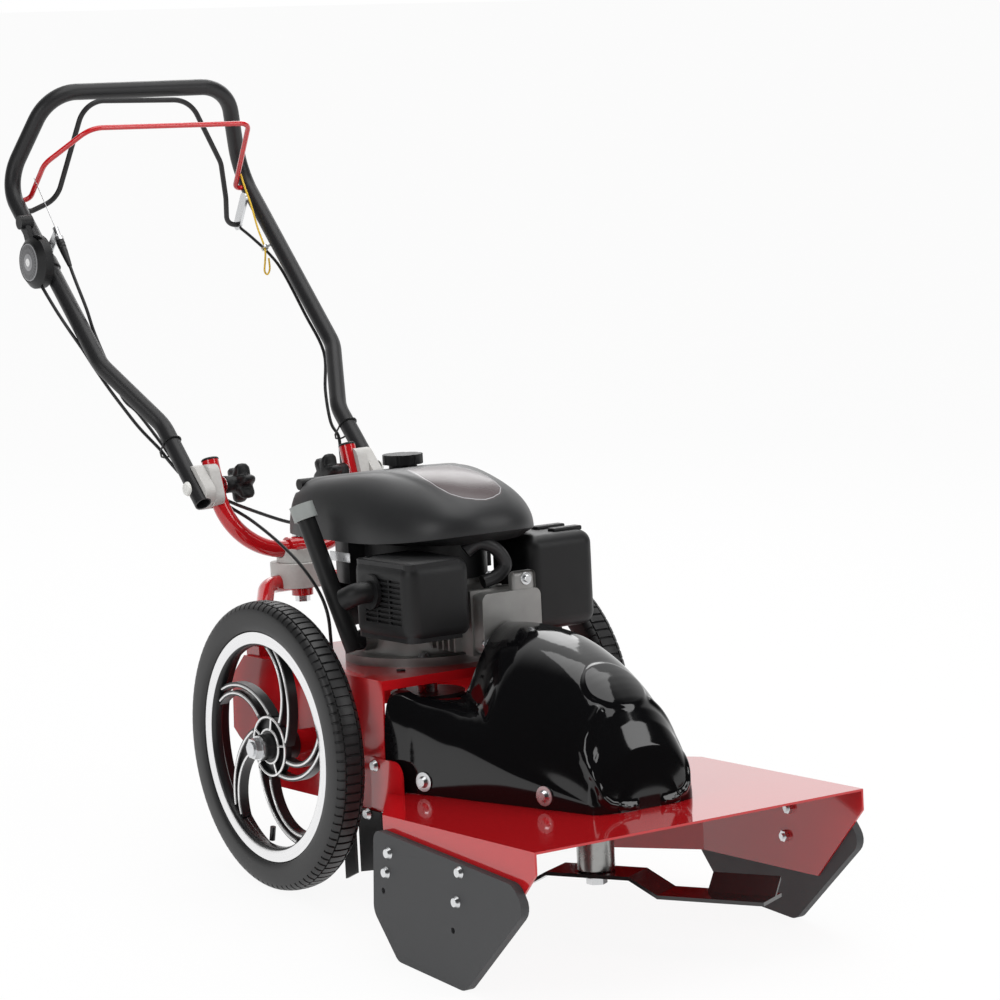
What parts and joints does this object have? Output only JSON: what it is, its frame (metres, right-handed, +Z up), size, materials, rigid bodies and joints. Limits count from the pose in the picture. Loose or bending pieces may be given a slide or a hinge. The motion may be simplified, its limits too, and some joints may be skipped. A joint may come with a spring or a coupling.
{
  "type": "wheeled string trimmer",
  "caption": "Walk-behind wheeled trimmer with a red mowing deck, skid plates, a vertical-shaft engine and a folding, swivelling handlebar.",
  "frame": {"origin": "on the ground in the middle of the machine's length and width", "axes": "+X to the front, where the deck is; +Y to the machine's left; +Z up"},
  "size_m": [1.4762, 0.558, 1.0642],
  "materials": {
    "red_paint": "gloss",
    "black_paint": "satin",
    "wheel_casting": "gloss",
    "tyre_rubber": "matte",
    "zinc": "satin",
    "steel": "satin",
    "bushing": "satin",
    "cast_alloy": "cast",
    "gloss_hood": "gloss",
    "engine_plastic": "satin",
    "black_plastic": "satin",
    "grey_plastic": "satin",
    "skid_plastic": "matte",
    "black_rubber": "matte",
    "cord": "woven"
  },
  "bodies": {
    "chassis": {"chassis_frame": "red_paint", "axle": "zinc", "axle_nuts": "zinc", "wheel_bushes": "bushing", "handle_hoop": "red_paint", "swivel_base": "grey_plastic", "swivel_bolt": "zinc", "mower_deck": "red_paint", "body_bolts": "zinc", "rubber_flaps": "black_rubber", "skid_plates": "skid_plastic", "skid_bolts": "zinc", "hood": "gloss_hood", "engine_block": "cast_alloy", "valve_cover": "cast_alloy", "fan_housing": "engine_plastic", "engine_cover": "engine_plastic", "fuel_tank": "engine_plastic", "oil_filler": "black_plastic", "muffler": "cast_alloy", "muffler_guard": "black_paint", "exhaust_elbow": "black_paint", "carburettor": "cast_alloy", "air_box": "engine_plastic", "drive_belt": "black_rubber", "spindle_housing": "steel", "spindle_bearings": "steel"},
    "wheel_r": {"wheel_right": "wheel_casting", "tyre_right": "tyre_rubber"},
    "wheel_l": {"wheel_left": "wheel_casting", "tyre_left": "tyre_rubber"},
    "swivel": {"yoke": "red_paint", "swivel_top": "grey_plastic", "clamp_inner": "grey_plastic", "clamp_bolts": "zinc", "cable_loops": "black_rubber"},
    "right_knob": {"knob_right": "black_plastic"},
    "left_knob": {"knob_left": "black_plastic"},
    "handle": {"handlebar": "black_paint", "clamp_outer": "grey_plastic", "bail_clip": "zinc", "throttle_pod": "black_plastic", "handle_cables": "black_rubber", "handle_fittings": "zinc", "latch_cord": "cord"},
    "red_bail": {"drive_bail": "red_paint"},
    "black_bail": {"brake_bail": "black_paint"},
    "lever": {"throttle_lever": "black_plastic"},
    "crank": {"crankshaft": "steel", "engine_pulley": "steel"},
    "cutter": {"spindle_shaft": "steel", "spindle_pulley": "steel", "blade": "black_paint", "blade_bolt": "zinc"},
    "tightener": {"idler_arm": "steel"},
    "idler": {"idler_pulley": "steel"},
    "grip": {"starter_grip": "black_plastic"},
    "cap": {"fuel_cap": "black_plastic"},
    "stick": {"dipstick": "grey_plastic"},
    "air_cover": {"air_box_cover": "engine_plastic"}
  },
  "joints": [
    {"name": "wheel_right_spin", "type": "hinge", "parent": "chassis", "child": "wheel_r", "pos_m": [0.06893, -0.2235, 0.2], "axis": [0, 1, 0], "continuous": true},
    {"name": "wheel_left_spin", "type": "hinge", "parent": "chassis", "child": "wheel_l", "pos_m": [0.06893, 0.2235, 0.2], "axis": [0, 1, 0], "continuous": true},
    {"name": "handle_swivel", "type": "hinge", "parent": "chassis", "child": "swivel", "pos_m": [-0.22535, 0, 0.4061], "axis": [-0.0837, 0, 0.9965], "range_deg": [-25, 25], "deforming": ["cable_loops"]},
    {"name": "handle_fold", "type": "hinge", "parent": "swivel", "child": "handle", "pos_m": [-0.26604, 0, 0.50289], "axis": [0, 1, 0], "range_deg": [-25, 95], "deforming": ["cable_loops"]},
    {"name": "knob_right_turn", "type": "hinge", "parent": "swivel", "child": "right_knob", "pos_m": [-0.26604, -0.088, 0.50289], "axis": [0, 1, 0], "continuous": true},
    {"name": "knob_left_turn", "type": "hinge", "parent": "swivel", "child": "left_knob", "pos_m": [-0.26604, 0.088, 0.50289], "axis": [0, 1, 0], "continuous": true},
    {"name": "drive_bail_squeeze", "type": "hinge", "parent": "handle", "child": "red_bail", "pos_m": [-0.70553, 0, 0.88899], "axis": [0, -1, 0], "range_deg": [0, 18], "stiffness_Nm_per_rad": 1.5, "springref_deg": -8.59, "deforming": ["latch_cord"]},
    {"name": "brake_bail_squeeze", "type": "hinge", "parent": "handle", "child": "black_bail", "pos_m": [-0.69854, -0.005, 0.85224], "axis": [0.0524, -0.9926, 0.1098], "range_deg": [0, 4], "stiffness_Nm_per_rad": 1.5, "springref_deg": -8.59},
    {"name": "throttle_turn", "type": "hinge", "parent": "handle", "child": "lever", "pos_m": [-0.59534, -0.23147, 0.80684], "axis": [0, 1, 0], "range_deg": [-30, 30]},
    {"name": "crank_spin", "type": "hinge", "parent": "chassis", "child": "crank", "pos_m": [0.10524, 0, 0.30541], "axis": [-0.0837, 0, 0.9965], "continuous": true},
    {"name": "blade_spin", "type": "hinge", "parent": "chassis", "child": "cutter", "pos_m": [0.49733, 0, 0.18931], "axis": [-0.0837, 0, 0.9965], "continuous": true},
    {"name": "idler_swing", "type": "hinge", "parent": "chassis", "child": "tightener", "pos_m": [0.1999, -0.104, 0.31336], "axis": [-0.0837, 0, 0.9965], "range_deg": [0, 5]},
    {"name": "idler_spin", "type": "hinge", "parent": "tightener", "child": "idler", "pos_m": [0.26488, -0.0805, 0.2566], "axis": [-0.0837, 0, 0.9965], "continuous": true},
    {"name": "starter_pull", "type": "slide", "parent": "chassis", "child": "grip", "axis": [-0.9655, 0, 0.2603], "range_m": [0, 0.19], "stiffness_N_per_m": 4, "springref_m": -0.1},
    {"name": "fuel_cap_turn", "type": "hinge", "parent": "chassis", "child": "cap", "pos_m": [0.01162, 0.025, 0.55977], "axis": [-0.0837, 0, 0.9965], "range_deg": [0, 90]},
    {"name": "dipstick_pull", "type": "slide", "parent": "chassis", "child": "stick", "axis": [-0.406, -0.145, 0.9023], "range_m": [0, 0.12]},
    {"name": "air_cover_open", "type": "hinge", "parent": "chassis", "child": "air_cover", "pos_m": [0.16102, 0.1503, 0.34622], "axis": [-0.9965, 0, -0.0837], "range_deg": [0, 18]}
  ],
  "couplings": [
    {"joint": "blade_spin", "follows": "crank_spin", "ratio": 0.8},
    {"joint": "idler_swing", "follows": "drive_bail_squeeze", "ratio": 0.27778}
  ]
}
